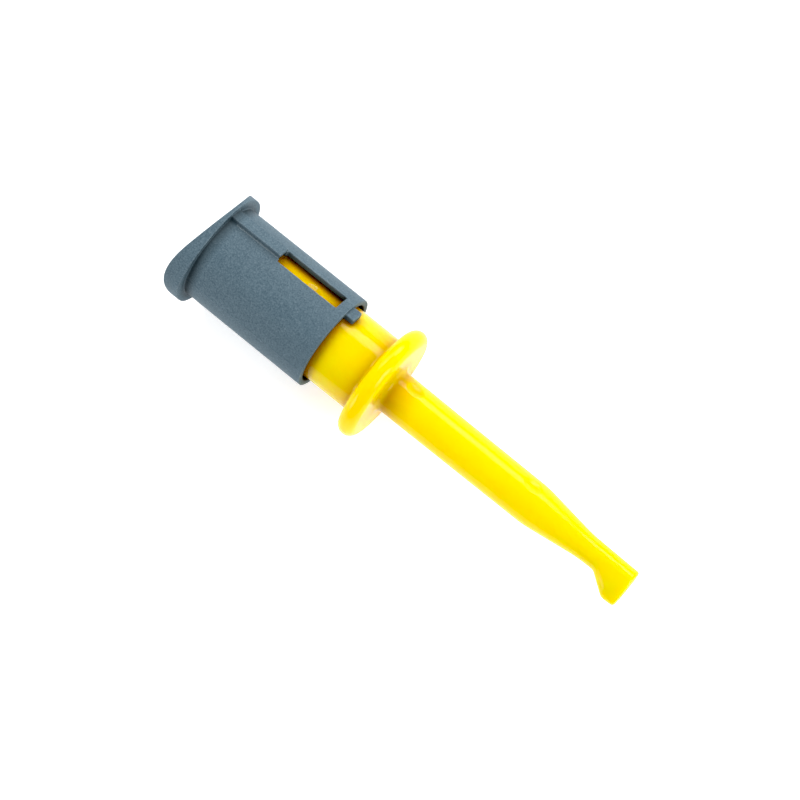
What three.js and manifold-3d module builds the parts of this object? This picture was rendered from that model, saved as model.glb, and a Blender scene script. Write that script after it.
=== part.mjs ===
// Spring-loaded test-hook clip, lying on its two flanges.
// Millimetres, +Z up, +X towards the nose. Pushing the cap towards +X puts the hook out of the nose.
import * as THREE from 'three';
import Module from 'manifold-3d';
import { mergeVertices } from 'three/addons/utils/BufferGeometryUtils.js';

const wasm = await Module();
wasm.setup();

// ---------------------------------------------------------------------------------------------
// Driving dimensions. Every x is measured along the axis from a datum just in front of the thumb flange.
// ---------------------------------------------------------------------------------------------
const ROUND_SEGMENTS = 72;
const ARC_STEPS = 5;
const CUT = 0.5;
const KEY_ANGLE = THREE.MathUtils.degToRad(43.2);
const MARK_ANGLE = THREE.MathUtils.degToRad(40);
const PLUNGER_TRAVEL = 4.0;

const thumbFlange = {
  halfWidth: 6.48,
  halfHeight: 5.75,
  outlinePower: 2.3,
  underside: -0.48,
  lowHeight: 0.44,
  rise: 1.53,
  edgeRadius: 0.15,
  rings: 9,
};
const cap = {
  mouth: 14.9,
  rootRadius: 5.42,
  mouthRadius: 5.44,
  wall: 0.64,
  floor: 0.4,
  edgeRadius: 0.12,
  padRadius: 3.35,
  padFace: 1.0,
  bossRadius: 2.1,
  bossEnd: 2.8,
  bossBore: 1.16,
};
const capWindow = { start: 6.04, end: 13.74, width: 2.04, cornerRadius: 0.15 };
const rib = { baseWidth: 2.5, topWidth: 1.45, topRadius: 5.95, channelWidth: 1.4, channelRadius: 5.5 };
const tongue = {
  start: 14.0,
  end: 15.98,
  width: 1.6,
  innerRadius: 4.55,
  outerRadius: 5.2,
  cornerRadius: 0.2,
};

const terminal = {
  sleeveRadius: 1.1,
  sleeveBore: 0.5,
  sleeveEnd: 6.0,
  back: 0.5,
  tabWidth: 1.3,
  tabRadius: 5.2,
  solderPadStart: 3.35,
  solderPadFace: 1.1,
  holeRadius: 0.4,
  holeCentre: 4.4,
};
const barrel = {
  start: terminal.solderPadFace + PLUNGER_TRAVEL + 0.2,
  startRadius: 4.46,
  endRadius: 4.42,
  boreRadius: 3.45,
  boreEnd: 17.6,
  chamfer: 0.3,
};
const fingerFlange = {
  halfWidth: 6.54,
  halfHeight: 5.75,
  barrelFace: 20.25,
  rimStart: 20.41,
  rimEnd: 22.47,
  noseFace: 22.6,
  filletRadius: 3.3,
  end: 23.2,
};
const stem = { startRadius: 2.38, endRadius: 2.265, taperStart: 41.35, taperEnd: 47.5, boreRadius: 0.6 };
const nose = {
  radius: 1.42,
  tipRadius: 1.3,
  tip: 53.52,
  edgeRadius: 0.18,
  flareStart: 49.7,
  flareEnd: 52.0,
  flareBlend: 0.35,
  footDepth: 2.94,
};
const supportMarks = { radius: 1.05, depth: 0.2, stations: [10.5, 24.8, 40.0] };
const restFlat = { depth: 0.08, reach: 30 };

const wire = { radius: 0.45, start: 1.1, segments: 16 };
const hook = {
  faceGap: 0.15,
  bendRadius: 0.7,
  reach: 1.6,
  tipLength: 0.35,
  pocketRadius: 0.6,
  pocketDepth: 1.95,
};
const spring = {
  meanRadius: 2.8,
  wireRadius: 0.25,
  activeTurns: 8,
  endTurns: 1,
  segments: 8,
  stepsPerTurn: 20,
};

// ---------------------------------------------------------------------------------------------
// Shape helpers
// ---------------------------------------------------------------------------------------------

/** A closed manifold solid from any closed three.js geometry. */
function solidFrom(geometry) {
  const bare = geometry.clone();
  bare.deleteAttribute('normal');
  bare.deleteAttribute('uv');
  const merged = mergeVertices(bare, 1e-4);
  const vertProperties = Float32Array.from(merged.attributes.position.array);
  const triVerts = Uint32Array.from(merged.index.array);
  return new wasm.Manifold(new wasm.Mesh({ numProp: 3, vertProperties, triVerts }));
}

/** A three.js geometry from a manifold solid. */
function geometryFrom(solid) {
  const result = solid.getMesh();
  const geometry = new THREE.BufferGeometry();
  geometry.setAttribute('position', new THREE.BufferAttribute(result.vertProperties, 3));
  geometry.setIndex(new THREE.BufferAttribute(result.triVerts, 1));
  geometry.computeVertexNormals();
  return geometry;
}

/** Revolves a profile of [radius, x] points about the X axis. */
function revolve(profile, segments = ROUND_SEGMENTS) {
  const points = profile.map(([radius, x]) => new THREE.Vector2(radius, x));
  return new THREE.LatheGeometry(points, segments).rotateZ(-Math.PI / 2);
}

/** Points of a quarter round on a revolved edge, from one direction to another, in degrees. */
function edgeArc(radius, x, edgeRadius, fromDegrees, toDegrees, steps = ARC_STEPS) {
  const points = [];
  for (let step = 0; step <= steps; step += 1) {
    const angle = THREE.MathUtils.degToRad(THREE.MathUtils.lerp(fromDegrees, toDegrees, step / steps));
    points.push([radius + edgeRadius * Math.cos(angle), x + edgeRadius * Math.sin(angle)]);
  }
  return points;
}

/** A rod of round section swept along a curve. */
function sweep(curve, radius, segments, steps) {
  const section = new THREE.Shape();
  for (let corner = 0; corner < segments; corner += 1) {
    const angle = (corner / segments) * Math.PI * 2;
    const x = radius * Math.cos(angle);
    const y = radius * Math.sin(angle);
    if (corner === 0) {
      section.moveTo(x, y);
    } else {
      section.lineTo(x, y);
    }
  }
  section.closePath();
  return new THREE.ExtrudeGeometry(section, { steps, extrudePath: curve, bevelEnabled: false });
}

/** A block on the key line: from x0 to x1, from one radius to another, with a width round the axis. */
function keyBlock(x0, x1, innerRadius, outerRadius, width) {
  const block = new THREE.BoxGeometry(x1 - x0, width, outerRadius - innerRadius);
  block.translate((x0 + x1) / 2, 0, (innerRadius + outerRadius) / 2);
  return block.rotateX(-KEY_ANGLE);
}

/** A plate on the key line whose outline, seen from outside, has rounded corners. */
function keyPlate(x0, x1, innerRadius, outerRadius, width, cornerRadius) {
  const half = width / 2;
  const outline = new THREE.Shape();
  outline.moveTo(x0 + cornerRadius, -half);
  outline.lineTo(x1 - cornerRadius, -half);
  outline.absarc(x1 - cornerRadius, -half + cornerRadius, cornerRadius, -Math.PI / 2, 0, false);
  outline.lineTo(x1, half - cornerRadius);
  outline.absarc(x1 - cornerRadius, half - cornerRadius, cornerRadius, 0, Math.PI / 2, false);
  outline.lineTo(x0 + cornerRadius, half);
  outline.absarc(x0 + cornerRadius, half - cornerRadius, cornerRadius, Math.PI / 2, Math.PI, false);
  outline.lineTo(x0, -half + cornerRadius);
  outline.absarc(x0 + cornerRadius, -half + cornerRadius, cornerRadius, Math.PI, Math.PI * 1.5, false);
  const settings = { depth: outerRadius - innerRadius, bevelEnabled: false, curveSegments: ARC_STEPS };
  return new THREE.ExtrudeGeometry(outline, settings).translate(0, 0, innerRadius).rotateX(-KEY_ANGLE);
}

/** Takes the small flat off the underside of a flange, so that the clip lies still. */
function withRestFlat(solid, halfHeight) {
  const { depth, reach } = restFlat;
  const below = new THREE.BoxGeometry(reach * 2, reach, reach);
  below.translate(0, 0, -halfHeight + depth - reach / 2);
  return solid.subtract(solidFrom(below));
}

/** 0 before the start, 1 after the end, straight between, with parabolic blends at both corners. */
function softRamp(x, start, end, blend) {
  const bend = (u) => {
    if (u <= -blend) {
      return 0;
    }
    return u >= blend ? u : (u + blend) ** 2 / (4 * blend);
  };
  return (bend(x - start) - bend(x - end)) / (end - start);
}

function namedMesh(name, geometry, color, roughness, metalness) {
  const mesh = new THREE.Mesh(geometry, new THREE.MeshStandardMaterial({ color, roughness, metalness }));
  mesh.name = name;
  return mesh;
}

// ---------------------------------------------------------------------------------------------
// Plunger cap: thumb flange with a trough, tube, rib with the lead channel, window and tongue
// ---------------------------------------------------------------------------------------------

/** Height of the thumb face over the underside; the trough runs along one diagonal. */
function thumbHeight(y, z) {
  const across = (z / thumbFlange.halfHeight - y / thumbFlange.halfWidth) / Math.SQRT2;
  return thumbFlange.lowHeight + thumbFlange.rise * across ** 2;
}

/** How far the flange's outline stands outside the circle or ellipse, in the direction of (y, z). */
function squareness(y, z) {
  const radius = Math.hypot(y, z);
  if (radius === 0) {
    return 1;
  }
  const { outlinePower } = thumbFlange;
  const sum = Math.abs(y / radius) ** outlinePower + Math.abs(z / radius) ** outlinePower;
  return sum ** (-1 / outlinePower);
}

function buildThumbFlange() {
  const { halfWidth, halfHeight, underside, lowHeight, edgeRadius, rings } = thumbFlange;
  const inner = halfHeight - edgeRadius;
  const profile = [[0, -lowHeight]];
  for (let ring = 1; ring < rings; ring += 1) {
    profile.push([(inner * ring) / rings, -lowHeight]);
  }
  profile.push(...edgeArc(inner, -lowHeight + edgeRadius, edgeRadius, -90, 0, 3));
  profile.push(...edgeArc(inner, -edgeRadius, edgeRadius, 0, 90, 3));
  profile.push([0, 0]);
  const flange = revolve(profile);
  const position = flange.attributes.position;
  for (let index = 0; index < position.count; index += 1) {
    const grow = squareness(position.getY(index), position.getZ(index));
    const y = (position.getY(index) * grow * halfWidth) / halfHeight;
    const z = position.getZ(index) * grow;
    const x = position.getX(index);
    const lift = x < -lowHeight / 2 ? thumbHeight(y, z) - lowHeight : 0;
    position.setXYZ(index, x - lift, y, z);
  }
  flange.translate(underside, 0, 0);
  return withRestFlat(solidFrom(flange), halfHeight);
}

function buildCup() {
  const { mouth, rootRadius, mouthRadius, wall, floor, edgeRadius } = cap;
  const start = thumbFlange.underside - thumbFlange.lowHeight / 2;
  return solidFrom(revolve([
    [0, start],
    [rootRadius, start],
    [rootRadius, 0],
    ...edgeArc(mouthRadius - edgeRadius, mouth - edgeRadius, edgeRadius, 0, 90, 2),
    [mouthRadius - wall, mouth],
    [rootRadius - wall, floor],
    [0, floor],
  ]));
}

function buildSpringSeat() {
  const { floor, padRadius, padFace, bossRadius, bossEnd } = cap;
  return solidFrom(revolve([
    [0, floor - CUT],
    [padRadius, floor - CUT],
    [padRadius, padFace],
    [bossRadius, padFace],
    [bossRadius, bossEnd],
    [0, bossEnd],
  ]));
}

function buildRib() {
  const { baseWidth, topWidth, topRadius } = rib;
  const baseRadius = cap.rootRadius - cap.wall;
  const chamfer = 0.12;
  const section = new THREE.Shape();
  section.moveTo(-baseWidth / 2, baseRadius);
  section.lineTo(baseWidth / 2, baseRadius);
  section.lineTo(topWidth / 2, topRadius - chamfer);
  section.lineTo(topWidth / 2 - chamfer, topRadius);
  section.lineTo(-topWidth / 2 + chamfer, topRadius);
  section.lineTo(-topWidth / 2, topRadius - chamfer);
  section.closePath();
  const start = thumbFlange.underside - thumbFlange.lowHeight / 2;
  const bar = new THREE.ExtrudeGeometry(section, { depth: capWindow.start - start, bevelEnabled: false });
  bar.rotateY(Math.PI / 2).rotateX(Math.PI / 2);
  bar.translate(start, 0, 0);
  return solidFrom(bar.rotateX(-KEY_ANGLE));
}

function buildPlungerCap() {
  const { start, end, width, cornerRadius } = capWindow;
  const boreStart = cap.floor + 0.05;
  const outside = rib.topRadius + CUT;
  const boss = revolve([
    [0, boreStart],
    [cap.bossBore, boreStart],
    [cap.bossBore, cap.bossEnd + CUT],
    [0, cap.bossEnd + CUT],
  ]);
  const tabSlot = keyBlock(boreStart, cap.bossEnd + CUT, 0, rib.channelRadius - CUT, terminal.tabWidth + 0.3);
  const channel = keyBlock(boreStart, start + CUT, 3.9, rib.channelRadius, rib.channelWidth);
  const opening = keyPlate(start, end, 4.0, outside, width, cornerRadius);
  const { innerRadius, outerRadius } = tongue;
  const lug = keyPlate(tongue.start, tongue.end, innerRadius, outerRadius, tongue.width, tongue.cornerRadius);
  const shell = buildCup().add(buildThumbFlange()).add(buildRib()).add(buildSpringSeat());
  const cut = shell.subtract(solidFrom(boss)).subtract(solidFrom(tabSlot)).subtract(solidFrom(channel));
  return geometryFrom(cut.subtract(solidFrom(opening)).add(solidFrom(lug)));
}

// ---------------------------------------------------------------------------------------------
// Clip body: barrel, finger flange, stem, taper and a nose whose foot flares towards -Y
// ---------------------------------------------------------------------------------------------

function buildBodyOutside() {
  const { start, startRadius, endRadius, chamfer } = barrel;
  const profile = [
    [0, start],
    [startRadius - chamfer, start],
    [startRadius, start + chamfer],
    [endRadius, fingerFlange.rimStart],
    [endRadius, fingerFlange.noseFace],
    [stem.startRadius, fingerFlange.noseFace],
  ];
  const taperSteps = 12;
  const blend = 0.9;
  for (let step = 0; step <= taperSteps; step += 1) {
    const x = THREE.MathUtils.lerp(stem.taperStart - blend, stem.taperEnd + blend, step / taperSteps);
    const ramp = softRamp(x, stem.taperStart, stem.taperEnd, blend);
    profile.push([THREE.MathUtils.lerp(stem.endRadius, nose.radius, ramp), x]);
  }
  const footStart = nose.flareStart - nose.flareBlend;
  const footSteps = 16;
  const lastRing = nose.tip - nose.edgeRadius;
  for (let step = 0; step < footSteps; step += 1) {
    const share = step / footSteps;
    profile.push([
      THREE.MathUtils.lerp(nose.radius, nose.tipRadius, share),
      THREE.MathUtils.lerp(footStart, lastRing, share),
    ]);
  }
  profile.push(...edgeArc(nose.tipRadius - nose.edgeRadius, lastRing, nose.edgeRadius, 0, 90, 3));
  profile.push([0, nose.tip]);
  const outside = revolve(profile);
  const position = outside.attributes.position;
  for (let index = 0; index < position.count; index += 1) {
    const x = position.getX(index);
    const y = position.getY(index);
    if (y < 0 && x > footStart) {
      const ramp = softRamp(x, nose.flareStart, nose.flareEnd, nose.flareBlend);
      position.setY(index, y * THREE.MathUtils.lerp(1, nose.footDepth / nose.tipRadius, ramp));
    }
  }
  return solidFrom(outside);
}

function buildFingerFlange() {
  const { halfWidth, halfHeight, barrelFace, rimStart, rimEnd, noseFace, filletRadius, end } = fingerFlange;
  const rimRadius = (rimEnd - rimStart) / 2;
  const rimCentre = (rimEnd + rimStart) / 2;
  const disc = revolve([
    [0, barrelFace],
    [barrel.endRadius - 0.2, barrelFace],
    ...edgeArc(halfHeight - rimRadius, rimCentre, rimRadius, -90, 90, 9),
    [filletRadius, noseFace],
    [(filletRadius + stem.startRadius) / 2 - 0.2, noseFace + 0.3],
    [stem.startRadius - 0.3, end],
    [0, end],
  ]);
  return withRestFlat(solidFrom(disc.scale(1, halfWidth / halfHeight, 1)), halfHeight);
}

/** A round moulding mark, like a shallow saucer. */
function buildSupportMark(x) {
  const { radius, depth } = supportMarks;
  const surfaceRadius = x < fingerFlange.barrelFace ? barrel.startRadius : radiusOfStem(x);
  const ballRadius = (radius ** 2 + depth ** 2) / (2 * depth);
  const ball = new THREE.SphereGeometry(ballRadius, 48, 24);
  ball.translate(x, 0, surfaceRadius - depth + ballRadius).rotateX(-MARK_ANGLE);
  const limit = new THREE.CylinderGeometry(radius, radius, 2, 32).rotateX(Math.PI / 2);
  limit.translate(x, 0, surfaceRadius).rotateX(-MARK_ANGLE);
  return solidFrom(ball).intersect(solidFrom(limit));
}

function radiusOfStem(x) {
  const share = (x - fingerFlange.noseFace) / (stem.taperStart - fingerFlange.noseFace);
  return THREE.MathUtils.lerp(stem.startRadius, stem.endRadius, share);
}

function buildClipBody() {
  const bore = revolve([
    [0, barrel.start - CUT],
    [barrel.boreRadius, barrel.start - CUT],
    [barrel.boreRadius, barrel.boreEnd],
    [stem.boreRadius, barrel.boreEnd],
    [stem.boreRadius, nose.tip + CUT],
    [0, nose.tip + CUT],
  ]);
  const pocketStart = nose.tip - hook.pocketDepth;
  const pocketLength = hook.pocketDepth + CUT;
  const slot = new THREE.BoxGeometry(pocketLength, hook.reach, hook.pocketRadius * 2);
  slot.translate(pocketStart + pocketLength / 2, -hook.reach / 2, 0);
  const slotEnd = revolve([
    [0, pocketStart],
    [hook.pocketRadius, pocketStart],
    [hook.pocketRadius, nose.tip + CUT],
    [0, nose.tip + CUT],
  ]).translate(0, -hook.reach, 0);
  let solid = buildBodyOutside().add(buildFingerFlange());
  for (const x of supportMarks.stations) {
    solid = solid.subtract(buildSupportMark(x));
  }
  return geometryFrom(solid.subtract(solidFrom(bore)).subtract(solidFrom(slot)).subtract(solidFrom(slotEnd)));
}

// ---------------------------------------------------------------------------------------------
// Metal pieces inside: hooked contact wire, solder terminal and return spring
// ---------------------------------------------------------------------------------------------

/** The bent end of the contact wire: out of the bore, across towards -Y, and back as a short tip. */
class HookCurve extends THREE.Curve {
  constructor() {
    super();
    this.crossX = nose.tip - hook.faceGap - wire.radius;
    this.bendX = this.crossX - hook.bendRadius;
    this.lead = 0.6;
    this.quarter = (Math.PI / 2) * hook.bendRadius;
    this.crossLength = hook.reach - 2 * hook.bendRadius;
    this.total = this.lead + 2 * this.quarter + this.crossLength + hook.tipLength;
  }

  getPoint(t, target = new THREE.Vector3()) {
    const { bendRadius, reach } = hook;
    let along = t * this.total;
    if (along < this.lead) {
      return target.set(this.bendX - this.lead + along, 0, 0);
    }
    along -= this.lead;
    if (along < this.quarter) {
      const angle = along / bendRadius;
      return target.set(this.bendX + bendRadius * Math.sin(angle), bendRadius * (Math.cos(angle) - 1), 0);
    }
    along -= this.quarter;
    if (along < this.crossLength) {
      return target.set(this.crossX, -bendRadius - along, 0);
    }
    along -= this.crossLength;
    if (along < this.quarter) {
      const angle = along / bendRadius;
      const y = -reach + bendRadius * (1 - Math.sin(angle));
      return target.set(this.bendX + bendRadius * Math.cos(angle), y, 0);
    }
    along -= this.quarter;
    return target.set(this.bendX - along, -reach, 0);
  }
}

function buildHookRod() {
  const bend = new HookCurve();
  const start = new THREE.Vector3(wire.start, 0, 0);
  const end = new THREE.Vector3(bend.bendX - bend.lead / 2, 0, 0);
  const shank = sweep(new THREE.LineCurve3(start, end), wire.radius, wire.segments, 1);
  return geometryFrom(solidFrom(shank).add(solidFrom(sweep(bend, wire.radius, wire.segments, 40))));
}

function buildSolderTerminal() {
  const { sleeveRadius, sleeveBore, back, sleeveEnd, tabWidth, tabRadius } = terminal;
  const { solderPadStart, solderPadFace, holeRadius, holeCentre } = terminal;
  const sleeve = revolve([[0, back], [sleeveRadius, back], [sleeveRadius, sleeveEnd], [0, sleeveEnd]], 48);
  const boreStart = wire.start - 0.05;
  const boreStop = sleeveEnd + CUT;
  const bore = revolve([[0, boreStart], [sleeveBore, boreStart], [sleeveBore, boreStop], [0, boreStop]], 32);
  const tab = keyBlock(back, cap.padFace, 0.2, tabRadius, tabWidth);
  const solderPad = keyBlock(back, solderPadFace, solderPadStart, tabRadius, tabWidth);
  const hole = new THREE.CylinderGeometry(holeRadius, holeRadius, 2, 24).rotateZ(Math.PI / 2);
  hole.translate((back + solderPadFace) / 2, 0, holeCentre).rotateX(-KEY_ANGLE);
  const solid = solidFrom(sleeve).add(solidFrom(tab)).add(solidFrom(solderPad));
  return geometryFrom(solid.subtract(solidFrom(bore)).subtract(solidFrom(hole)));
}

/** Compression spring between the cap's seat and the shoulder at the end of the barrel's bore. */
class SpringCurve extends THREE.Curve {
  constructor() {
    super();
    const { wireRadius, activeTurns, endTurns } = spring;
    this.gap = 0.05;
    this.start = cap.padFace + wireRadius + this.gap;
    this.end = barrel.boreEnd - wireRadius - this.gap;
    this.turns = activeTurns + 2 * endTurns;
    this.closePitch = 2.2 * wireRadius;
  }

  getPoint(t, target = new THREE.Vector3()) {
    const { meanRadius, activeTurns, endTurns } = spring;
    const turn = t * this.turns;
    const closeRise = this.closePitch * endTurns;
    const openPitch = (this.end - this.start - 2 * closeRise) / activeTurns;
    let x = this.start + turn * this.closePitch;
    if (turn > endTurns) {
      x = this.start + closeRise + (turn - endTurns) * openPitch;
    }
    if (turn > endTurns + activeTurns) {
      x = this.end - (this.turns - turn) * this.closePitch;
    }
    const angle = turn * Math.PI * 2;
    return target.set(x, meanRadius * Math.sin(angle), meanRadius * Math.cos(angle));
  }
}

function buildReturnSpring() {
  const curve = new SpringCurve();
  curve.arcLengthDivisions = 800;
  return sweep(curve, spring.wireRadius, spring.segments, spring.stepsPerTurn * curve.turns);
}

// ---------------------------------------------------------------------------------------------
// Assembly
// ---------------------------------------------------------------------------------------------

const plunger = new THREE.Group();
plunger.add(
  namedMesh('plunger_cap', buildPlungerCap(), 0x56626b, 0.55, 0),
  namedMesh('hook_rod', buildHookRod(), 0xc9a24a, 0.28, 1),
  namedMesh('solder_terminal', buildSolderTerminal(), 0xcfa955, 0.35, 1),
);

const clip = new THREE.Group();
clip.add(
  namedMesh('clip_body', buildClipBody(), 0xffe800, 0.42, 0),
  namedMesh('return_spring', buildReturnSpring(), 0xb9bcc0, 0.3, 1),
  plunger,
);

// The clip lies centred over the origin, with the flats of its flanges on the table.
const bounds = new THREE.Box3().setFromObject(clip, true);
const centre = bounds.getCenter(new THREE.Vector3());
clip.position.set(-centre.x, -centre.y, -bounds.min.z);

export default clip;
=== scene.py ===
import math

import bmesh
import bpy
import numpy as np
from mathutils import Matrix, Vector


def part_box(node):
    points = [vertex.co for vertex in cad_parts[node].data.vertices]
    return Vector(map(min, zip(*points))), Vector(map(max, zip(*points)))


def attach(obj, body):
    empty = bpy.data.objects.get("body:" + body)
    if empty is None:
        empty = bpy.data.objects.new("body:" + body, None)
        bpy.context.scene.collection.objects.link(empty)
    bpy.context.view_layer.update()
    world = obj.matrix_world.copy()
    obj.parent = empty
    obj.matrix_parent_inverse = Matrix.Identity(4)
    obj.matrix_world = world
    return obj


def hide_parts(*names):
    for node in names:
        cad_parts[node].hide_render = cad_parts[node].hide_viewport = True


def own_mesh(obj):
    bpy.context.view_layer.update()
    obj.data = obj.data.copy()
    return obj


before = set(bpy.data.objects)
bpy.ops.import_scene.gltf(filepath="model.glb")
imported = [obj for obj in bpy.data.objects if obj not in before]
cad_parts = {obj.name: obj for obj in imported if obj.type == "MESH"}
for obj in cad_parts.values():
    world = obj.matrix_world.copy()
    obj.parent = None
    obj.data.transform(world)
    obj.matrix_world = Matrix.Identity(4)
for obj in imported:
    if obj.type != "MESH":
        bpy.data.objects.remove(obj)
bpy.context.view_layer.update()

MM = 0.001

# ------------------------------------------------------------------------------------------------
# Where the clip lies in the row frame, in millimetres
# ------------------------------------------------------------------------------------------------
_, BODY_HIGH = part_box("clip_body")
CAP_LOW, CAP_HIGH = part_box("plunger_cap")
NOSE_TIP = 53.52
AXIS_X = BODY_HIGH[0] / MM - NOSE_TIP
AXIS_Z = (CAP_LOW[2] + CAP_HIGH[2]) / 2 / MM
REST_FLAT = AXIS_Z                 # how far below the axis the flanges are cut flat

# ------------------------------------------------------------------------------------------------
# Sizes in millimetres. EDGE is the soft radius of an outer edge, FILLET that of an inner corner.
# ------------------------------------------------------------------------------------------------
KEY_ANGLE = math.radians(43.2)     # the rib, the window and the tongue, from +Z towards +Y
MARK_ANGLE = math.radians(40)      # the moulding marks on the barrel and the stem
PARTING_ANGLE = math.radians(-53)  # the faint line along the cap

# Thumb flange
FLANGE_WIDTH = 6.48
FLANGE_HEIGHT = 5.75
FLANGE_POWER = 2.3
FLANGE_UNDERSIDE = -0.48
FLANGE_LOW = 0.44
FLANGE_RISE = 1.53
FLANGE_FACE_SCALE = 0.93           # brings the sloping face's field close to a true distance
FLANGE_FACE_EDGE = 0.25
FLANGE_BACK_EDGE = 0.06
FLANGE_FILLET = 0.16

# Cap: tube, parting line, round mark, spring seat and boss
CAP_START = -0.7
CAP_ROOT_RADIUS = 5.42
CAP_MOUTH_RADIUS = 5.44
CAP_WALL = 0.64
CAP_MOUTH = 14.9
CAP_FLOOR = 0.4
CAP_MOUTH_EDGE = 0.1
CAP_BORE_EDGE = 0.14
CAP_BORE_FILLET = 0.3
PARTING_HEIGHT = 0.03
PARTING_WIDTH = 0.08
CAP_RING_RADIUS = 1.5
CAP_RING_WIDTH = 0.14
CAP_RING_DEPTH = 0.03
SEAT_RADIUS = 3.35
SEAT_START = -0.2
SEAT_FACE = 1.0
SEAT_EDGE = 0.12
SEAT_FILLET = 0.1
BOSS_RADIUS = 2.1
BOSS_END = 2.8
BOSS_BORE = 1.16
BOSS_EDGE = 0.2
BOSS_FILLET = 0.15
SOCKET_START = CAP_FLOOR + 0.05

# Cap: window, rib, lead channel and tongue
WINDOW_START = 6.04
WINDOW_END = 13.74
WINDOW_WIDTH = 2.04
WINDOW_CORNER = 0.15
WINDOW_INNER = 4.0                 # the radius from which the window's cut starts
OPENING_EDGE = 0.08
RIB_TOP_RADIUS = 5.95
RIB_TOP_WIDTH = 1.45
RIB_BOTTOM_RADIUS = 4.9
RIB_END = WINDOW_START + 0.02
RIB_DRAFT = 0.08                   # how much wider the rib gets for each millimetre down
RIB_EDGE = 0.1
RIB_END_EDGE = 0.08
RIB_FILLET = 0.25
CHANNEL_WIDTH = 1.4
CHANNEL_RADIUS = 5.5
CHANNEL_INNER = 3.9
CHANNEL_END = WINDOW_START + 0.6
TAB_SLOT_END = BOSS_END + 0.5
TAB_SLOT_RADIUS = CHANNEL_RADIUS - 0.5
TAB_SLOT_GAP = 0.15
TONGUE_START = 14.0
TONGUE_END = 15.98
TONGUE_WIDTH = 1.6
TONGUE_INNER = 4.55
TONGUE_OUTER = 5.2
TONGUE_CORNER = 0.2
TONGUE_EDGE = 0.12
TONGUE_FILLET = 0.06

# Body
BARREL_START = 5.3
BARREL_RADIUS = 4.46
BARREL_END_RADIUS = 4.42
BARREL_BORE = 3.45
BARREL_BORE_END = 17.6
BARREL_EDGE = 0.35
BORE_EDGE = 0.12
FINGER_WIDTH = 6.54
FINGER_HEIGHT = 5.75
FINGER_CENTRE = 21.44
FINGER_HALF_RIM = 1.03
FINGER_BARREL_FILLET = 0.35
FINGER_STEM_FILLET = 0.75
STEM_RADIUS = 2.38
STEM_END_RADIUS = 2.265
STEM_BORE = 0.6
TAPER_START = 41.35
TAPER_END = 47.5
TAPER_BLEND = 0.9
NECK_RADIUS = 1.42
TIP_RADIUS = 1.3
TIP_EDGE = 0.3
FOOT_START = 49.7
FOOT_END = 52.0
FOOT_BLEND = 0.35
FOOT_DEPTH = 2.94
MARK_STATIONS = (10.5, 24.8, 40.0)
MARK_RADIUS = 1.05
MARK_DEPTH = 0.2
MARK_EDGE = 0.04
MARK_LIMIT_EDGE = 0.1

# Contact wire and its pocket in the nose
WIRE_RADIUS = 0.45
WIRE_START = 1.1
HOOK_FACE_GAP = 0.15
HOOK_BEND = 0.7
HOOK_REACH = 1.6
HOOK_TIP = 0.35
HOOK_SHANK_POINTS = 60
HOOK_BEND_STEPS = 14
HOOK_STEP_GAP = 0.05               # between the last point of the shank and the first of the bend
HOOK_SIDES = 20
HOOK_START_DOME = (0.5, 0.8, 0.93)         # shares of the wire's radius at its first points
HOOK_END_DOME = (0.97, 0.88, 0.7, 0.42)    # and at its last points
POCKET_RADIUS = 0.6
POCKET_DEPTH = 1.95
POCKET_EDGE = 0.1

# Solder terminal
SLEEVE_RADIUS = 1.1
SLEEVE_BORE = 0.5
SLEEVE_START = 0.5
SLEEVE_END = 6.0
SLEEVE_EDGE = 0.12
SLEEVE_BORE_START = WIRE_START - 0.05
SLEEVE_BORE_EDGE = 0.05
CRIMP_CENTRE = 4.4
CRIMP_DEPTH = 0.10
CRIMP_LENGTH = 0.35
CRIMP_WIDTH = 0.7
TAB_START = 0.2
TAB_WIDTH = 1.3
TAB_RADIUS = 5.2
TAB_CORNER = 0.2
TAB_EDGE = 0.08
TAB_FILLET = 0.1
TAB_HOLE_RADIUS = 0.4
TAB_HOLE_CENTRE = 4.4
SOLDER_PAD_START = 3.35
SOLDER_PAD_FACE = 1.1
SOLDER_PAD_SLOPE = 0.1

# Return spring
SPRING_RADIUS = 2.8
SPRING_WIRE = 0.25
SPRING_ACTIVE_TURNS = 8
SPRING_END_TURNS = 1
SPRING_CLOSE_PITCH = 2.2 * SPRING_WIRE
SPRING_GAP = 0.05                  # at each end
SPRING_SIDES = 12
SPRING_STEPS_PER_TURN = 48

# Grids of the distance fields
GRID_MARGIN = 0.35
THUMB_FACE_LIMIT = -2.5            # just past the highest point of the thumb face
RIB_HEADROOM = 0.4
CAP_CELL = 0.08
BODY_CELL = 0.1
TERMINAL_CELL = 0.06


def row_point(x, y=0.0, z=0.0):
    """A point of the clip's own millimetre frame, in the row frame in metres."""
    return Vector(((x + AXIS_X) * MM, y * MM, (z + AXIS_Z) * MM))


# ------------------------------------------------------------------------------------------------
# Camera, light and floor
# ------------------------------------------------------------------------------------------------
PHOTO_TILT = math.radians(9.4)     # how far the camera leans over towards the nose
PHOTO_ROLL = math.radians(38.85)   # how far the clip's axis drops to the right in the picture
LENS = 111.5
SENSOR_WIDTH = 36.0
CAMERA_DISTANCE = 0.250
CAMERA_CLIP = (0.01, 20.0)
TARGET = row_point(23.88, -0.25)
LIGHT_TARGET = row_point(26.0)

WORLD_LIGHT = 0.28
BLACK_LEVEL = 0.010                # taken off every channel, as a levels adjustment does

# Area lights: name, place, width and height in metres, and power in watts
LIGHTS = (
    ("side_strip", (-0.03, 0.28, 0.175), 0.20, 0.13, 0.56),
    ("key_softbox", (-0.26, 0.20, 0.34), 0.26, 0.26, 0.92),
    ("nose_softbox", (0.36, 0.04, 0.22), 0.20, 0.20, 1.05),
    ("fill_softbox", (-0.24, -0.30, 0.16), 0.20, 0.20, 0.80),
)

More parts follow.
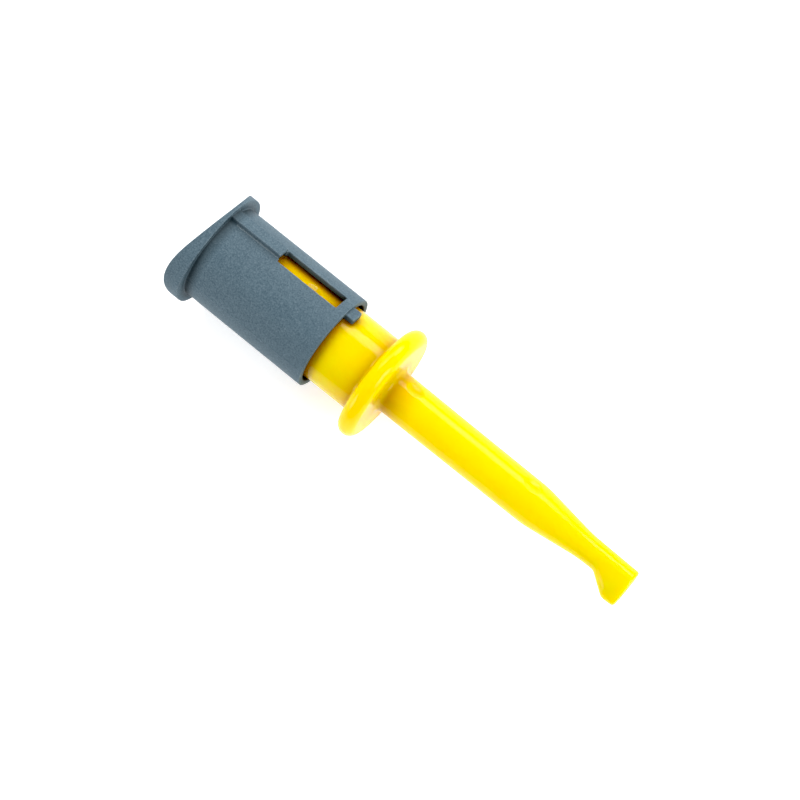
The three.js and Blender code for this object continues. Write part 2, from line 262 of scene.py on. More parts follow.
FLOOR_HALF_SIZE = 1.5
FLOOR_BASE = 0.93
FLOOR_ROUGHNESS = 0.9
FLOOR_GLOW = 0.50


def make_camera():
    """Looks down on the clip from the photo's angle."""
    back = Vector((math.sin(PHOTO_TILT), 0.0, math.cos(PHOTO_TILT)))
    along = Vector((math.cos(PHOTO_TILT), 0.0, -math.sin(PHOTO_TILT)))
    across = Vector((0.0, 1.0, 0.0))
    right = along * math.cos(PHOTO_ROLL) + across * math.sin(PHOTO_ROLL)
    up = across * math.cos(PHOTO_ROLL) - along * math.sin(PHOTO_ROLL)
    data = bpy.data.cameras.new("photo_camera")
    data.lens = LENS
    data.sensor_width = SENSOR_WIDTH
    data.clip_start, data.clip_end = CAMERA_CLIP
    camera = bpy.data.objects.new("photo_camera", data)
    bpy.context.collection.objects.link(camera)
    turn = Matrix((right, up, back)).transposed().to_4x4()
    camera.matrix_world = Matrix.Translation(TARGET + back * CAMERA_DISTANCE) @ turn
    bpy.context.scene.camera = camera


def make_area_light(name, place, width, height, power):
    """A white softbox that faces the clip."""
    data = bpy.data.lights.new(name, "AREA")
    data.shape = "RECTANGLE"
    data.size = width
    data.size_y = height
    data.energy = power
    light = bpy.data.objects.new(name, data)
    bpy.context.collection.objects.link(light)
    light.location = place
    light.rotation_euler = (Vector(place) - LIGHT_TARGET).to_track_quat("Z", "Y").to_euler()


def make_studio():
    """An even white surround, the softboxes and the picture's tone."""
    world = bpy.data.worlds.new("dim_tent")
    world.use_nodes = True
    background = world.node_tree.nodes["Background"]
    background.inputs["Color"].default_value = (1.0, 1.0, 1.0, 1.0)
    background.inputs["Strength"].default_value = WORLD_LIGHT
    scene = bpy.context.scene
    scene.world = world
    settings = scene.view_settings
    settings.view_transform = "Standard"
    settings.look = "None"
    settings.use_curve_mapping = True
    settings.curve_mapping.black_level = (BLACK_LEVEL, BLACK_LEVEL, BLACK_LEVEL)
    settings.curve_mapping.update()
    for light in LIGHTS:
        make_area_light(*light)


def make_floor():
    """A plain white table that glows a little, so that it stays white in the corners."""
    size = FLOOR_HALF_SIZE
    mesh = bpy.data.meshes.new("floor")
    corners = [(-size, -size, 0), (size, -size, 0), (size, size, 0), (-size, size, 0)]
    mesh.from_pydata(corners, [], [(0, 1, 2, 3)])
    floor = bpy.data.objects.new("floor", mesh)
    bpy.context.collection.objects.link(floor)
    material = bpy.data.materials.new("white_table")
    material.use_nodes = True
    shader = material.node_tree.nodes["Principled BSDF"]
    shader.inputs["Base Color"].default_value = (FLOOR_BASE, FLOOR_BASE, FLOOR_BASE, 1.0)
    shader.inputs["Roughness"].default_value = FLOOR_ROUGHNESS
    shader.inputs["Emission Color"].default_value = (1.0, 1.0, 1.0, 1.0)
    shader.inputs["Emission Strength"].default_value = FLOOR_GLOW
    mesh.materials.append(material)


# ------------------------------------------------------------------------------------------------
# Distance fields: negative inside, positive outside
# ------------------------------------------------------------------------------------------------
def join(a, b, soft):
    """The union of two fields, with a fillet of about that radius where they meet."""
    h = np.clip(0.5 + 0.5 * (b - a) / soft, 0.0, 1.0)
    return b + (a - b) * h - soft * h * (1.0 - h)


def common(a, b, soft):
    """What two fields share, with its edges rounded."""
    return -join(-a, -b, soft)


def cut(a, b, soft):
    """The first field without the second, with its edges rounded."""
    return common(a, -b, soft)


def lerp(a, b, share):
    """a where the share is 0, b where it is 1."""
    return a + (b - a) * share


def ramp(x, start, end, blend):
    """0 before the start, 1 after the end, straight between, with parabolic blends at both corners."""
    def bend(u):
        return np.where(u <= -blend, 0.0, np.where(u >= blend, u, (u + blend) ** 2 / (4 * blend)))
    return (bend(x - start) - bend(x - end)) / (end - start)


def turned(y, z, angle):
    """(round, out): coordinates across and along the direction at that angle from +Z towards +Y."""
    return y * math.cos(angle) - z * math.sin(angle), y * math.sin(angle) + z * math.cos(angle)


def oval(y, z, half_width, half_height, power=2.0):
    """Distance from an oval round the axis; a higher power than 2 squares it off."""
    across = np.abs(y / half_width) + 1e-6
    high = np.abs(z / half_height) + 1e-6
    share = (across ** power + high ** power) ** (1.0 / power)
    slope_y = (across / share) ** (power - 1.0) / half_width
    slope_z = (high / share) ** (power - 1.0) / half_height
    return (share - 1.0) / np.sqrt(slope_y ** 2 + slope_z ** 2)


def slab(x, start, end):
    """What lies between two parallel planes."""
    return np.maximum(start - x, x - end)


def rounded_plate(x, across, start, end, width, corner):
    """The outline of a plate in its own plane, with rounded corners."""
    dx = np.abs(x - (start + end) / 2) - (end - start) / 2 + corner
    dy = np.abs(across) - width / 2 + corner
    outside = np.sqrt(np.maximum(dx, 0.0) ** 2 + np.maximum(dy, 0.0) ** 2)
    return outside + np.minimum(np.maximum(dx, dy), 0.0) - corner


def bell(x, width):
    """1 in the middle, falling smoothly to 0 over a few widths."""
    return np.exp(-(x / width) ** 2)


def cap_field(x, y, z):
    """The grey moulding: tube, thumb flange, rib, spring seat, window and tongue."""
    radius = np.sqrt(y * y + z * z)
    outer = lerp(CAP_ROOT_RADIUS, CAP_MOUTH_RADIUS, x / CAP_MOUTH)
    across, out = turned(y, z, KEY_ANGLE)

    # The tube, with the faint parting line and the faint round mark beside the window.
    line_across, line_out = turned(y, z, PARTING_ANGLE)
    line = PARTING_HEIGHT * bell(line_across, PARTING_WIDTH) * (line_out > 0)
    off_ring = np.sqrt((x - MARK_STATIONS[0]) ** 2 + across ** 2) - CAP_RING_RADIUS
    ring = CAP_RING_DEPTH * bell(off_ring, CAP_RING_WIDTH) * (out > 0)
    tube = common(radius - outer - line + ring, x - CAP_MOUTH, CAP_MOUTH_EDGE)
    tube = np.maximum(tube, CAP_START - x)

    # The thumb flange: an oval plate whose face is a trough along one diagonal.
    rim = np.maximum(oval(y, z, FLANGE_WIDTH, FLANGE_HEIGHT, FLANGE_POWER), -REST_FLAT - z)
    across_trough = (z / FLANGE_HEIGHT - y / FLANGE_WIDTH) / math.sqrt(2.0)
    face = FLANGE_UNDERSIDE - x - FLANGE_LOW - FLANGE_RISE * across_trough ** 2
    flange = common(rim, face * FLANGE_FACE_SCALE, FLANGE_FACE_EDGE)
    flange = common(flange, x - FLANGE_UNDERSIDE, FLANGE_BACK_EDGE)
    shell = join(tube, flange, FLANGE_FILLET)

    # The rib over the lead channel.
    side = np.abs(across) - RIB_TOP_WIDTH / 2 - (RIB_TOP_RADIUS - out) * RIB_DRAFT
    rib = common(side, out - RIB_TOP_RADIUS, RIB_EDGE)
    rib = common(rib, x - RIB_END, RIB_END_EDGE)
    rib = np.maximum(rib, np.maximum(CAP_START - x, RIB_BOTTOM_RADIUS - out))
    shell = join(shell, rib, RIB_FILLET)

    # The inside: bore, spring seat, boss, socket and the slot for the terminal's tab.
    bore = common(radius - (outer - CAP_WALL), CAP_FLOOR - x, CAP_BORE_FILLET)
    shell = cut(shell, bore, CAP_BORE_EDGE)
    seat = common(radius - SEAT_RADIUS, x - SEAT_FACE, SEAT_EDGE)
    boss = common(radius - BOSS_RADIUS, x - BOSS_END, BOSS_EDGE)
    inside = np.maximum(join(seat, boss, BOSS_FILLET), SEAT_START - x)
    shell = join(shell, inside, SEAT_FILLET)
    socket = np.maximum(radius - BOSS_BORE, SOCKET_START - x)
    tab_slot = np.maximum(slab(x, SOCKET_START, TAB_SLOT_END), np.abs(across) - TAB_WIDTH / 2 - TAB_SLOT_GAP)
    tab_slot = np.maximum(tab_slot, slab(out, 0.0, TAB_SLOT_RADIUS))
    shell = cut(shell, np.minimum(socket, tab_slot), OPENING_EDGE)

    # The channel under the rib, and the window.
    channel = np.maximum(slab(x, SOCKET_START, CHANNEL_END), np.abs(across) - CHANNEL_WIDTH / 2)
    channel = np.maximum(channel, slab(out, CHANNEL_INNER, CHANNEL_RADIUS))
    shell = cut(shell, channel, OPENING_EDGE)
    window = rounded_plate(x, across, WINDOW_START, WINDOW_END, WINDOW_WIDTH, WINDOW_CORNER)
    window = np.maximum(window, WINDOW_INNER - out)
    shell = cut(shell, window, OPENING_EDGE)

    # The tongue under the bar between the window and the mouth.
    tongue = rounded_plate(x, across, TONGUE_START, TONGUE_END, TONGUE_WIDTH, TONGUE_CORNER)
    tongue = common(tongue, slab(out, TONGUE_INNER, TONGUE_OUTER), TONGUE_EDGE)
    return join(shell, tongue, TONGUE_FILLET)


def body_field(x, y, z):
    """The yellow moulding: barrel, finger flange, stem, nose, marks, bores and the hook's pocket."""
    radius = np.sqrt(y * y + z * z)

    along_barrel = (x - BARREL_START) / (FINGER_CENTRE - BARREL_START)
    barrel_radius = lerp(BARREL_RADIUS, BARREL_END_RADIUS, along_barrel)
    barrel = common(radius - barrel_radius, BARREL_START - x, BARREL_EDGE)
    barrel = np.maximum(barrel, x - FINGER_CENTRE)

    # The finger flange's rim is a full round: a flat oval core, swollen by half the thickness.
    core = oval(y, z, FINGER_WIDTH - FINGER_HALF_RIM, FINGER_HEIGHT - FINGER_HALF_RIM)
    outside = np.maximum(core, 0.0)
    off_plane = x - FINGER_CENTRE
    flange = np.sqrt(outside * outside + off_plane * off_plane) - FINGER_HALF_RIM
    flange = np.maximum(flange, -REST_FLAT - z)

    # The foot is the nose's round section, stretched towards -Y.
    along_stem = np.minimum((x - FINGER_CENTRE) / (TAPER_START - FINGER_CENTRE), 1.0)
    stem_radius = lerp(STEM_RADIUS, STEM_END_RADIUS, along_stem)
    along_nose = np.clip((x - TAPER_END) / (NOSE_TIP - TAPER_END), 0.0, 1.0)
    nose_radius = lerp(NECK_RADIUS, TIP_RADIUS, along_nose)
    outer = lerp(stem_radius, nose_radius, ramp(x, TAPER_START, TAPER_END, TAPER_BLEND))
    stretch = lerp(1.0, FOOT_DEPTH / TIP_RADIUS, ramp(x, FOOT_START, FOOT_END, FOOT_BLEND))
    squeezed = np.where(y < 0, y / stretch, y)
    stem = np.sqrt(squeezed * squeezed + z * z) - outer
    stem = common(stem, x - NOSE_TIP, TIP_EDGE)
    stem = np.maximum(stem, FINGER_CENTRE - x)

    solid = join(barrel, flange, FINGER_BARREL_FILLET)
    solid = join(solid, stem, FINGER_STEM_FILLET)

    # The moulding marks are shallow dishes, cut by a large ball.
    across, out = turned(y, z, MARK_ANGLE)
    ball_radius = (MARK_RADIUS ** 2 + MARK_DEPTH ** 2) / (2 * MARK_DEPTH)
    for station, surface in zip(MARK_STATIONS, (BARREL_RADIUS, STEM_RADIUS, STEM_END_RADIUS)):
        ball_out = surface - MARK_DEPTH + ball_radius
        around = (x - station) ** 2 + across ** 2
        ball = np.sqrt(around + (out - ball_out) ** 2) - ball_radius
        dish = common(ball, np.sqrt(around) - MARK_RADIUS, MARK_LIMIT_EDGE)
        solid = cut(solid, dish, MARK_EDGE)

    # The spring's bore, the wire's bore and the pocket that the hook is drawn into.
    bore = np.minimum(np.maximum(radius - BARREL_BORE, x - BARREL_BORE_END), radius - STEM_BORE)
    solid = cut(solid, bore, BORE_EDGE)
    slot = np.maximum(np.abs(z) - POCKET_RADIUS, slab(y, -HOOK_REACH, 0.0))
    slot_end = np.sqrt((y + HOOK_REACH) ** 2 + z * z) - POCKET_RADIUS
    pocket = np.maximum(np.minimum(slot, slot_end), NOSE_TIP - POCKET_DEPTH - x)
    return cut(solid, pocket, POCKET_EDGE)


def terminal_field(x, y, z):
    """The brass terminal: crimped sleeve, tab, raised solder pad and hole."""
    radius = np.sqrt(y * y + z * z)
    across, out = turned(y, z, KEY_ANGLE)
    crimp = CRIMP_DEPTH * bell(x - CRIMP_CENTRE, CRIMP_LENGTH) * bell(across, CRIMP_WIDTH)
    sleeve = common(radius - SLEEVE_RADIUS + crimp, slab(x, SLEEVE_START, SLEEVE_END), SLEEVE_EDGE)
    tab = rounded_plate(out, across, TAB_START, TAB_RADIUS, TAB_WIDTH, TAB_CORNER)
    pad_share = np.clip((out - SOLDER_PAD_START) / SOLDER_PAD_SLOPE, 0.0, 1.0)
    pad_face = lerp(SEAT_FACE, SOLDER_PAD_FACE, pad_share)
    tab = common(tab, np.maximum(SLEEVE_START - x, x - pad_face), TAB_EDGE)
    solid = join(sleeve, tab, TAB_FILLET)
    solid = cut(solid, np.maximum(radius - SLEEVE_BORE, SLEEVE_BORE_START - x), SLEEVE_BORE_EDGE)
    hole = np.sqrt((out - TAB_HOLE_CENTRE) ** 2 + across ** 2) - TAB_HOLE_RADIUS
    return cut(solid, hole, OPENING_EDGE)


# ------------------------------------------------------------------------------------------------
# Meshes from the fields
# ------------------------------------------------------------------------------------------------
def surface_net(field, low, high, cell):
    """Vertices and quads of a field's zero surface, one vertex in each grid cell that it crosses."""
    counts = [int(math.ceil((high[i] - low[i]) / cell)) + 1 for i in range(3)]
    ticks = [np.float32(low[i]) + np.float32(cell) * np.arange(counts[i], dtype=np.float32) for i in range(3)]
    value = field(ticks[0][:, None, None], ticks[1][None, :, None], ticks[2][None, None, :])
    cells = np.array(counts) - 1
    total = int(np.prod(cells))
    sums = np.zeros((total, 3))
    hits = np.zeros(total)
    quads = []
    for axis in range(3):
        first = np.take(value, range(counts[axis] - 1), axis=axis)
        second = np.take(value, range(1, counts[axis]), axis=axis)
        crossed = (first < 0) != (second < 0)
        where = np.argwhere(crossed)
        v0 = first[crossed].astype(float)
        v1 = second[crossed].astype(float)
        point = where.astype(float)
        point[:, axis] += v0 / (v0 - v1)
        ring = []
        for step_a, step_b in ((0, 0), (-1, 0), (-1, -1), (0, -1)):
            place = where.copy()
            place[:, (axis + 1) % 3] += step_a
            place[:, (axis + 2) % 3] += step_b
            flat = (place[:, 0] * cells[1] + place[:, 1]) * cells[2] + place[:, 2]
            ring.append(flat)
            hits += np.bincount(flat, minlength=total)
            for k in range(3):
                sums[:, k] += np.bincount(flat, weights=point[:, k], minlength=total)
        ring = np.stack(ring, axis=1)
        outward_back = v0 >= 0
        ring[outward_back] = ring[outward_back][:, ::-1]
        quads.append(ring)
    used = hits > 0
    number = np.cumsum(used) - 1
    vertices = np.array(low) + cell * sums[used] / hits[used][:, None]
    return vertices, number[np.concatenate(quads)]


def settle(field, points, rounds, longest):
    """Moves points along the field's slope onto its zero surface."""
    step = 0.004
    least_slope_squared = 0.05
    for _ in range(rounds):
        value = field(*points.T)
        slope = np.empty_like(points)
        for axis in range(3):
            ahead = points.copy()
            behind = points.copy()
            ahead[:, axis] += step
            behind[:, axis] -= step
            rise = field(*ahead.T) - field(*behind.T)
            slope[:, axis] = rise / (2 * step)
        slope_squared = np.maximum((slope ** 2).sum(axis=1), least_slope_squared)
        move = -slope * (value / slope_squared)[:, None]
        length = np.sqrt((move ** 2).sum(axis=1))
        move *= np.minimum(1.0, longest / np.maximum(length, 1e-9))[:, None]
        points = points + move
    return points


def mesh_object(name, points, faces):
    """A smooth-shaded object from points in the clip's millimetre frame."""
    mesh = bpy.data.meshes.new(name)
    placed = (np.asarray(points) + np.array([AXIS_X, 0.0, AXIS_Z])) * MM
    mesh.from_pydata(placed.tolist(), [], [list(map(int, face)) for face in faces])
    mesh.validate()
    mesh.shade_smooth()
    piece = bpy.data.objects.new(name, mesh)
    bpy.context.collection.objects.link(piece)
    return piece


def weld(mesh, distance):
    """Merges points that lie closer together than that, in metres."""
    work = bmesh.new()
    work.from_mesh(mesh)
    bmesh.ops.remove_doubles(work, verts=work.verts, dist=distance)
    work.to_mesh(mesh)
    work.free()


def moulding(name, field, low, high, cell):
    """An object from a field inside a box, with the grid's margin added all round."""
    low = [value - GRID_MARGIN for value in low]
    high = [value + GRID_MARGIN for value in high]
    cell = cell
    points, faces = surface_net(field, low, high, cell)
    points = settle(field, points, rounds=2, longest=cell * 0.6)
    piece = mesh_object(name, points, faces)
    weld(piece.data, cell * 0.3 * MM)
    return piece


# ------------------------------------------------------------------------------------------------
# Swept wires
# ------------------------------------------------------------------------------------------------
def sweep(path, radii, sides):
    """A round tube along a path, with its own radius at each point and both ends closed."""
    path = np.asarray(path, float)
    tangent = np.gradient(path, axis=0)
    tangent /= np.linalg.norm(tangent, axis=1)[:, None]
    side = np.cross(tangent[0], (0.0, 0.0, 1.0))
    points = []
    for index, centre in enumerate(path):
        side = side - tangent[index] * side.dot(tangent[index])
        side /= np.linalg.norm(side)
        other = np.cross(tangent[index], side)
        for corner in range(sides):
            angle = 2 * math.pi * corner / sides
            points.append(centre + (side * math.cos(angle) + other * math.sin(angle)) * radii[index])
    points += [path[0], path[-1]]
    first_end, last_end = len(points) - 2, len(points) - 1

    faces = []
    for ring in range(0, (len(path) - 1) * sides, sides):
        after = ring + sides
        for corner in range(sides):
            turned_on = (corner + 1) % sides
            faces.append((ring + corner, ring + turned_on, after + turned_on, after + corner))
    last_ring = (len(path) - 1) * sides
    for corner in range(sides):
        turned_on = (corner + 1) % sides
        faces.append((turned_on, corner, first_end))
        faces.append((last_ring + corner, last_ring + turned_on, last_end))
    return points, faces


def hook_path():
    """Straight along the axis, a quarter bend, across towards -Y, a quarter bend back and a short tip."""
    cross_x = NOSE_TIP - HOOK_FACE_GAP - WIRE_RADIUS
    bend_x = cross_x - HOOK_BEND
    flat = HOOK_REACH - 2 * HOOK_BEND
    turn_y = HOOK_BEND - HOOK_REACH
    angles = [math.pi / 2 * step / HOOK_BEND_STEPS for step in range(HOOK_BEND_STEPS + 1)]
    path = [(x, 0.0, 0.0) for x in np.linspace(WIRE_START, bend_x - HOOK_STEP_GAP, HOOK_SHANK_POINTS)]
    path += [(bend_x + HOOK_BEND * math.sin(a), HOOK_BEND * (math.cos(a) - 1), 0.0) for a in angles]
    path += [(cross_x, -HOOK_BEND - flat * share, 0.0) for share in (0.25, 0.5, 0.75)]
    path += [(bend_x + HOOK_BEND * math.cos(a), turn_y - HOOK_BEND * math.sin(a), 0.0) for a in angles]
    path += [(bend_x - HOOK_TIP * share, -HOOK_REACH, 0.0) for share in (0.3, 0.6, 0.8, 0.92, 0.98, 1.0)]
    return path


def make_hook():
    path = hook_path()
    plain = len(path) - len(HOOK_START_DOME) - len(HOOK_END_DOME)
    shares = [*HOOK_START_DOME, *[1.0] * plain, *HOOK_END_DOME]
    points, faces = sweep(path, [WIRE_RADIUS * share for share in shares], HOOK_SIDES)
    return mesh_object("hook_wire", points, faces)


def spring_path():
    """A helix with one close turn at each end."""
    start = SEAT_FACE + SPRING_WIRE + SPRING_GAP
    end = BARREL_BORE_END - SPRING_WIRE - SPRING_GAP
    turns = SPRING_ACTIVE_TURNS + 2 * SPRING_END_TURNS
    open_length = end - start - 2 * SPRING_CLOSE_PITCH * SPRING_END_TURNS
    open_pitch = open_length / SPRING_ACTIVE_TURNS
    path = []
    for turn in np.linspace(0.0, turns, SPRING_STEPS_PER_TURN * turns + 1):
        rise = SPRING_CLOSE_PITCH * min(turn, SPRING_END_TURNS)
        rise += open_pitch * min(max(turn - SPRING_END_TURNS, 0.0), SPRING_ACTIVE_TURNS)
        rise += SPRING_CLOSE_PITCH * max(turn - SPRING_END_TURNS - SPRING_ACTIVE_TURNS, 0.0)
        angle = turn * 2 * math.pi
        path.append((start + rise, SPRING_RADIUS * math.sin(angle), SPRING_RADIUS * math.cos(angle)))
    return path


def make_spring():
    path = spring_path()
    points, faces = sweep(path, [SPRING_WIRE] * len(path), SPRING_SIDES)
    return mesh_object("coil_spring", points, faces)


# ------------------------------------------------------------------------------------------------
# Materials
# ------------------------------------------------------------------------------------------------
YELLOW_DEEP = (0.91, 0.69, 0.0)
YELLOW_LIGHT = (0.93, 0.735, 0.0)
YELLOW_SPECK = (0.90, 0.66, 0.001)
# The next two colours are painted shade, used near close walls.
YELLOW_PAINTED_SHADE = (0.55, 0.26, 0.0)
YELLOW_PAINTED_DEEP_SHADE = (0.42, 0.17, 0.0)
YELLOW_SCUFF = (0.97, 0.80, 0.06)

GREY_DEEP = (0.089, 0.139, 0.173)
GREY_LIGHT = (0.102, 0.155, 0.190)
GREY_GRAIN_PIT = (0.052, 0.088, 0.115)
GREY_GRAIN_PEAK = (0.19, 0.25, 0.29)
# The next colour is painted shade, for the corners and the thumb flange's shadow on the tube.
GREY_PAINTED_SHADE = (0.018, 0.028, 0.033)
# The next colour is both wear and a painted highlight along the edges.
GREY_WEAR_AND_HIGHLIGHT = (0.36, 0.42, 0.45)
PAINTED_SHADOW_END = 0.9                # where the painted shadow beside the thumb flange ends, in millimetres


class Finish:
    """A node material with short calls for its nodes. Patterns are sized in millimetres."""

    def __init__(self, name):
        self.material = bpy.data.materials.new(name)
        self.material.use_nodes = True
        self.tree = self.material.node_tree
        self.shader = self.tree.nodes["Principled BSDF"]
        coordinates = self.tree.nodes.new("ShaderNodeTexCoord")
        self.place = coordinates.outputs["Object"]

    def set(self, **values):
        """Sets the shader's own sockets."""
        for key, value in values.items():
            self.shader.inputs[key.replace("_", " ")].default_value = value

    def link(self, a, b):
        self.tree.links.new(a, b)

    def noise(self, size_mm, detail=3.0, roughness=0.55, stretch=(1.0, 1.0, 1.0)):
        """A noise whose blotches are about that many millimetres across, from 0 to 1."""
        mapping = self.tree.nodes.new("ShaderNodeMapping")
        mapping.inputs["Scale"].default_value = stretch
        self.link(self.place, mapping.inputs["Vector"])
        node = self.tree.nodes.new("ShaderNodeTexNoise")
        node.inputs["Scale"].default_value = 1.0 / (size_mm * MM)
        node.inputs["Detail"].default_value = detail
        node.inputs["Roughness"].default_value = roughness
        self.link(mapping.outputs["Vector"], node.inputs["Vector"])
        return node.outputs["Fac"]

    def spread(self, source, low, high, to_low=0.0, to_high=1.0):
        """Maps low..high to to_low..to_high, clamped."""
        node = self.tree.nodes.new("ShaderNodeMapRange")
        node.inputs["From Min"].default_value = low
        node.inputs["From Max"].default_value = high
        node.inputs["To Min"].default_value = to_low
        node.inputs["To Max"].default_value = to_high
        self.link(source, node.inputs["Value"])
        return node.outputs["Result"]

    def math(self, operation, a, b):
        """A sum on two values; each is a number or a socket."""
        node = self.tree.nodes.new("ShaderNodeMath")
        node.operation = operation
        for socket, value in zip(node.inputs, (a, b)):
            if isinstance(value, (int, float)):
                socket.default_value = value
            else:
                self.link(value, socket)
        return node.outputs[0]

    def mix(self, share, a, b):
        """A colour between a and b; each is a colour or a socket."""
        node = self.tree.nodes.new("ShaderNodeMix")
        node.data_type = "RGBA"
        self.link(share, node.inputs[0])
        for socket, value in ((node.inputs[6], a), (node.inputs[7], b)):
            if isinstance(value, tuple):
                socket.default_value = (*value, 1.0)
            else:
                self.link(value, socket)
        return node.outputs[2]

    def along(self):
        """The place along the clip, in the same millimetres as the sizes above."""
        node = self.tree.nodes.new("ShaderNodeSeparateXYZ")
        self.link(self.place, node.inputs["Vector"])
        return self.math("SUBTRACT", self.math("MULTIPLY", node.outputs["X"], 1.0 / MM), AXIS_X)

    def closeness(self, reach_mm, low, high, inside):
        """1 where less than low of the view within that reach is open, 0 where more than high is."""
        node = self.tree.nodes.new("ShaderNodeAmbientOcclusion")
        node.samples = 6
        node.inside = inside
        node.only_local = inside
        node.inputs["Distance"].default_value = reach_mm * MM
        return self.spread(node.outputs["AO"], low, high, 1.0, 0.0)

    def crevices(self, reach_mm, low, high):
        """1 where other surfaces stand close around, 0 in the open."""
        return self.closeness(reach_mm, low, high, inside=False)

    def edges(self, reach_mm, low, high):
        """1 on the piece's own outer edges, 0 on its faces."""
        return self.closeness(reach_mm, low, high, inside=True)

    def bump(self, heights):
        """Stacks bumps, each (source, height in millimetres)."""
        normal = None
        for source, height in heights:
            node = self.tree.nodes.new("ShaderNodeBump")
            node.inputs["Strength"].default_value = 1.0
            node.inputs["Distance"].default_value = height * MM
            self.link(source, node.inputs["Height"])
            if normal is not None:
                self.link(normal, node.inputs["Normal"])
            normal = node.outputs["Normal"]
        self.link(normal, self.shader.inputs["Normal"])


def yellow_plastic():
    """Glossy, slightly translucent yellow: flow variation, fine ripple, painted orange shade near close
    walls, scuffed lighter edges.
    """
    finish = Finish("yellow_plastic")
    flow = finish.noise(7.0, 2.0, stretch=(0.4, 1.0, 1.0))
    speck = finish.noise(0.5, 3.0)
    colour = finish.mix(finish.spread(flow, 0.35, 0.65), YELLOW_DEEP, YELLOW_LIGHT)
    colour = finish.mix(finish.spread(speck, 0.6, 0.75, 0.0, 0.25), colour, YELLOW_SPECK)

    # Painted shade: near close walls the yellow is turned to a darker orange, standing in for the shade there
    # and the light that bounces between the walls.
    near = finish.math("MULTIPLY", finish.crevices(4.0, 0.55, 0.95), 0.95)
    colour = finish.mix(near, colour, YELLOW_PAINTED_SHADE)
    tight_painted_shade = finish.math("MULTIPLY", finish.crevices(1.2, 0.50, 0.90), 0.8)
    colour = finish.mix(tight_painted_shade, colour, YELLOW_PAINTED_DEEP_SHADE)
    scuffed = finish.math("MULTIPLY", finish.edges(0.3, 0.55, 0.80), 0.35)
    colour = finish.mix(scuffed, colour, YELLOW_SCUFF)
    finish.link(colour, finish.shader.inputs["Base Color"])

    fine = finish.spread(speck, 0.3, 0.7, 0.09, 0.15)
    broad = finish.spread(flow, 0.3, 0.7, 0.0, 0.04)
    finish.link(finish.math("ADD", fine, broad), finish.shader.inputs["Roughness"])
    finish.set(Subsurface_Weight=0.8, Subsurface_Radius=(1.0, 0.55, 0.03), Subsurface_Scale=0.0015)
    finish.set(IOR=1.5, Specular_IOR_Level=0.16)
    finish.bump([(finish.noise(1.6, 2.0), 0.010), (finish.noise(0.22, 2.0), 0.002)])
    return finish.material


def grey_plastic():
    """Matte blue-grey moulding: fine grain, faint mottling, painted shade in the corners and beside the thumb
    flange, edges lighter from wear and painted highlight.
    """
    finish = Finish("grey_plastic")
    mottle = finish.noise(1.3, 4.0, 0.6)
    grain = finish.noise(0.16, 3.0, 0.6)
    colour = finish.mix(finish.spread(mottle, 0.32, 0.68), GREY_DEEP, GREY_LIGHT)
    colour = finish.mix(finish.spread(grain, 0.35, 0.5, 0.7, 0.0), colour, GREY_GRAIN_PIT)
    colour = finish.mix(finish.spread(grain, 0.55, 0.75, 0.0, 0.7), colour, GREY_GRAIN_PEAK)

    # Painted shade: every corner is darkened, and the tube beside the thumb flange most, where the flange's
    # shadow falls.
    painted_corner_shade = finish.math("MULTIPLY", finish.crevices(0.9, 0.60, 0.95), 0.7)
    past_flange = finish.spread(finish.along(), FLANGE_UNDERSIDE, PAINTED_SHADOW_END, 0.85, 0.0)
    on_tube = finish.spread(finish.along(), FLANGE_UNDERSIDE + 0.04, FLANGE_UNDERSIDE + 0.1)
    painted_shade = finish.math("MAXIMUM", painted_corner_shade, finish.math("MULTIPLY", past_flange, on_tube))
    colour = finish.mix(painted_shade, colour, GREY_PAINTED_SHADE)

    # Edges are lighter in patches, part wear and part painted highlight, but not where a thin wall lies in a
    # corner.
    patches = finish.spread(finish.noise(0.9), 0.3, 0.6, 0.7, 1.0)
    worn = finish.math("MULTIPLY", finish.edges(0.16, 0.58, 0.82), patches)
    in_open = finish.math("SUBTRACT", 1.0, finish.crevices(0.9, 0.88, 0.97))
    worn = finish.math("MULTIPLY", worn, in_open)
    colour = finish.mix(worn, colour, GREY_WEAR_AND_HIGHLIGHT)
    finish.link(colour, finish.shader.inputs["Base Color"])

    finish.link(finish.spread(mottle, 0.3, 0.7, 0.50, 0.62), finish.shader.inputs["Roughness"])
    finish.set(IOR=1.49, Specular_IOR_Level=0.14)
    finish.bump([(mottle, 0.008), (grain, 0.010)])
    return finish.material


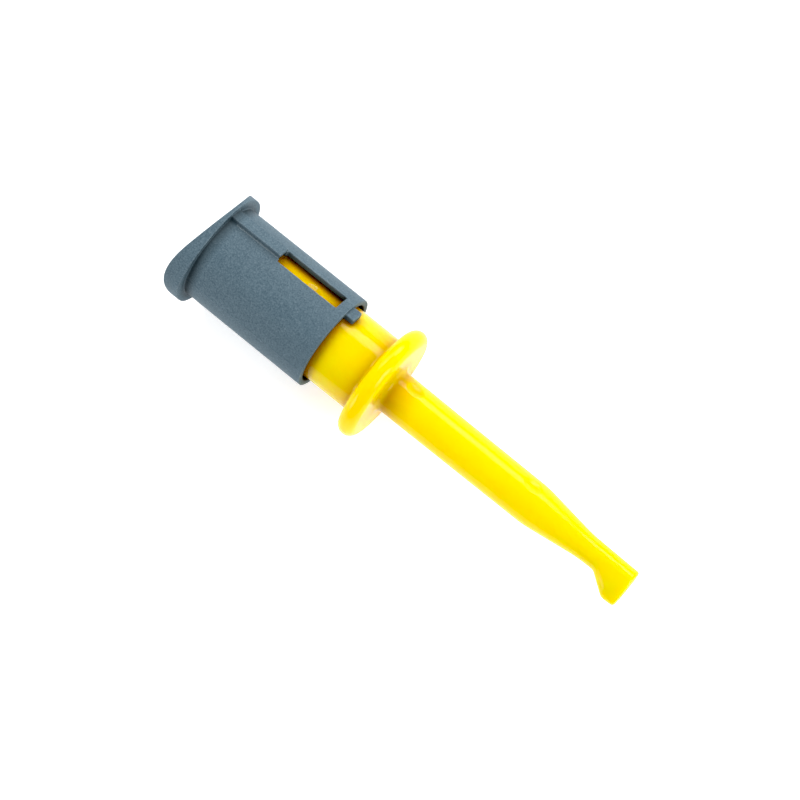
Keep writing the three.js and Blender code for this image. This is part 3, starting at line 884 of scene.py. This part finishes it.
def metal(name, base, dull, roughness, grain_mm, stretch=(1.0, 1.0, 1.0)):
    """Bare or plated metal: fine grain, and a thin dull film in patches, worn off the edges."""
    finish = Finish(name)
    grain = finish.noise(grain_mm, 4.0, 0.6, stretch)
    patches = finish.spread(finish.noise(2.5, 3.0), 0.4, 0.7, 0.0, 0.6)
    off_edges = finish.math("SUBTRACT", 1.0, finish.edges(0.15, 0.55, 0.80))
    film = finish.math("MULTIPLY", patches, off_edges)
    finish.link(finish.mix(film, base, dull), finish.shader.inputs["Base Color"])
    rough = finish.spread(grain, 0.3, 0.7, roughness - 0.06, roughness + 0.1)
    finish.link(rough, finish.shader.inputs["Roughness"])
    finish.set(Metallic=1.0)
    finish.bump([(grain, 0.004)])
    return finish.material


# ------------------------------------------------------------------------------------------------
# Assembly
# ------------------------------------------------------------------------------------------------
def place(piece, node, body, slot, material):
    """Gives a piece its material, hides the CAD node that it stands for and puts the piece on its body. The
    slot is not used.
    """
    piece.data.materials.clear()
    piece.data.materials.append(material)
    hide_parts(node)
    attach(piece, body)
    return piece


def build_cap():
    cap = moulding(
        "cap_moulding", cap_field,
        (THUMB_FACE_LIMIT, -FLANGE_WIDTH, -FLANGE_HEIGHT),
        (TONGUE_END, FLANGE_WIDTH, FLANGE_HEIGHT + RIB_HEADROOM),
        CAP_CELL,
    )
    place(cap, "plunger_cap", "plunger", "grey_plastic", grey_plastic())


def build_body():
    body = moulding(
        "body_moulding", body_field,
        (BARREL_START, -FINGER_WIDTH, -FINGER_HEIGHT),
        (NOSE_TIP, FINGER_WIDTH, FINGER_HEIGHT),
        BODY_CELL,
    )
    place(body, "clip_body", "body", "yellow_plastic", yellow_plastic())


def build_hook():
    gold = metal("hook_wire", (0.93, 0.70, 0.33), (0.75, 0.55, 0.27), 0.24, 0.3, stretch=(0.1, 1.0, 1.0))
    place(make_hook(), "hook_rod", "plunger", "hook_wire", gold)


def build_terminal():
    terminal = moulding(
        "terminal_stamping", terminal_field,
        (SLEEVE_START, -SLEEVE_RADIUS, -SLEEVE_RADIUS),
        (SLEEVE_END, TAB_RADIUS, TAB_RADIUS),
        TERMINAL_CELL,
    )
    brass = metal("terminal_brass", (0.87, 0.69, 0.38), (0.62, 0.47, 0.25), 0.3, 0.3)
    place(terminal, "solder_terminal", "plunger", "terminal_brass", brass)


def build_spring():
    """The spring's far end stands on the barrel's shoulder, and the cap's seat pushes the near one."""
    steel = metal("spring_steel", (0.66, 0.66, 0.68), (0.45, 0.45, 0.47), 0.28, 0.15)
    spring = place(make_spring(), "return_spring", "body", "spring_steel", steel)
    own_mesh(spring)


make_camera()
make_studio()
make_floor()
build_cap()
build_body()
build_hook()
build_terminal()
build_spring()
